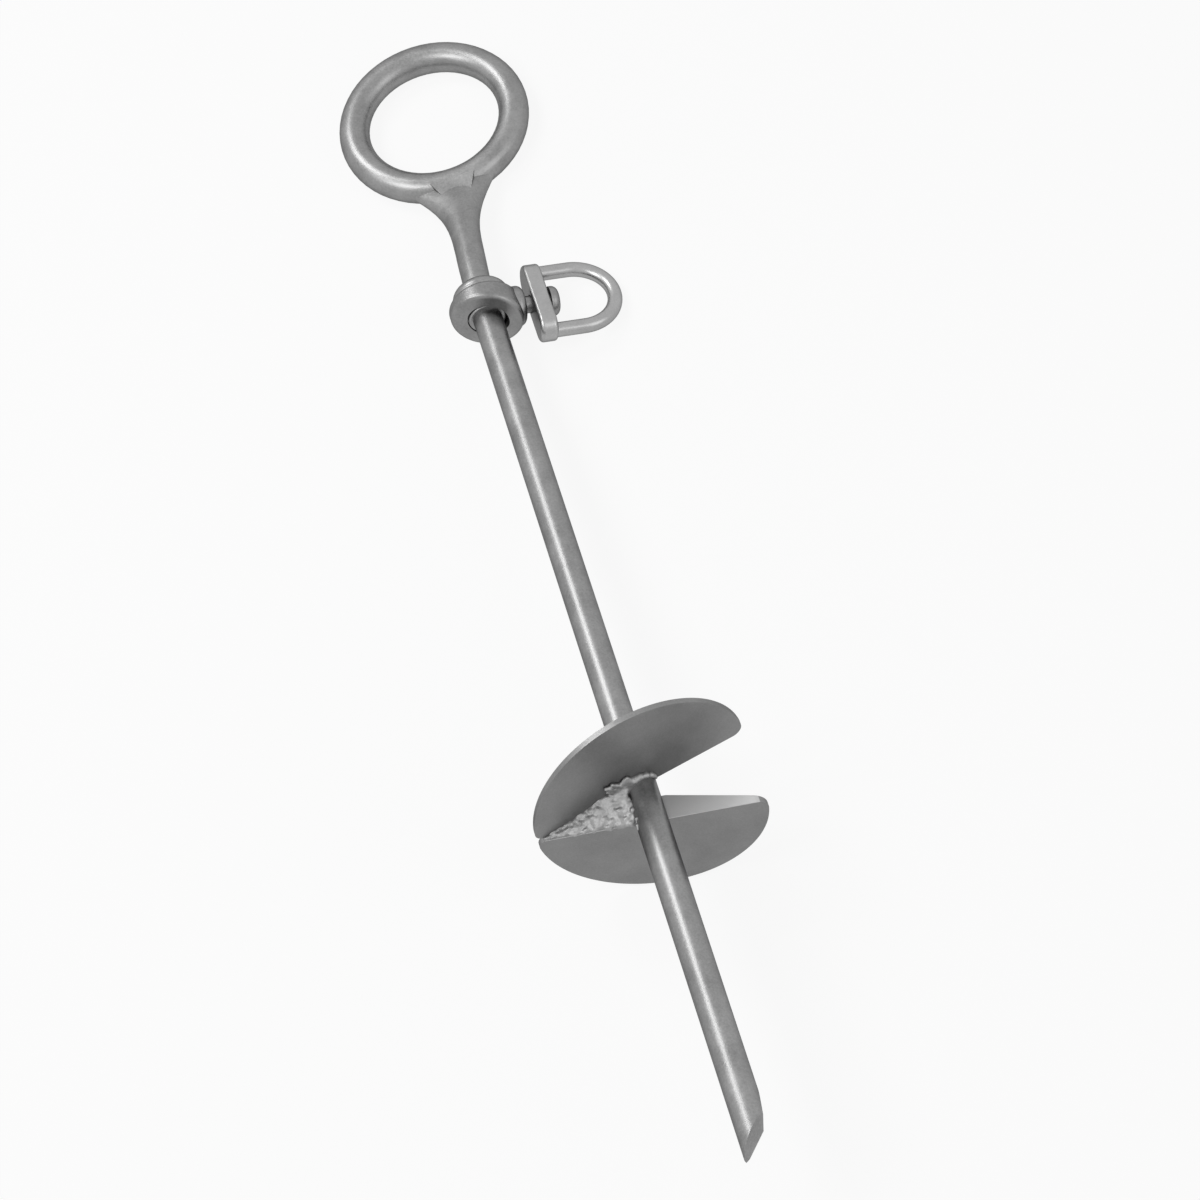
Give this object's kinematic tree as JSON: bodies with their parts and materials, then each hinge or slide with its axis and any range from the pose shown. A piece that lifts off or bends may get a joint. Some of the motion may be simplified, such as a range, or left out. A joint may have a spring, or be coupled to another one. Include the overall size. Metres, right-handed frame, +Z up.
{
  "type": "screw earth anchor",
  "caption": "Screw-in ground anchor: rod with a forged eye, a short screw flight near its ground point, and a swivel collar carrying a swivelling D-bow.",
  "frame": {"origin": "on the ground under the middle of the anchor's bounding box, the anchor lying on its flight and its eye", "axes": "+Y runs along the rod from the point toward the eye, +Z is up, +X is the side of the swivel bow"},
  "size_m": [0.115, 0.6532, 0.0983],
  "materials": {
    "shaft": "satin grey steel",
    "blade": "satin grey steel",
    "weld": "rough weld metal",
    "collar": "satin grey steel",
    "bow": "brighter satin steel"
  },
  "bodies": {
    "anchor": {"shaft": "shaft", "upper_blade": "blade", "lower_blade": "blade", "blade_weld": "weld", "stop_ring": "shaft"},
    "collar": {"swivel_ring": "collar"},
    "d_bow": {"bow": "bow"}
  },
  "joints": [
    {"name": "collar_swivel", "type": "hinge", "parent": "anchor", "child": "collar", "pos_m": [-0.00778, 0.14847, 0.02024], "axis": [0, 0.9953, -0.0967], "continuous": true},
    {"name": "bow_swivel", "type": "hinge", "parent": "collar", "child": "d_bow", "pos_m": [0.01384, 0.1479, 0.01443], "axis": [0.9654, -0.0252, -0.2596], "continuous": true}
  ]
}
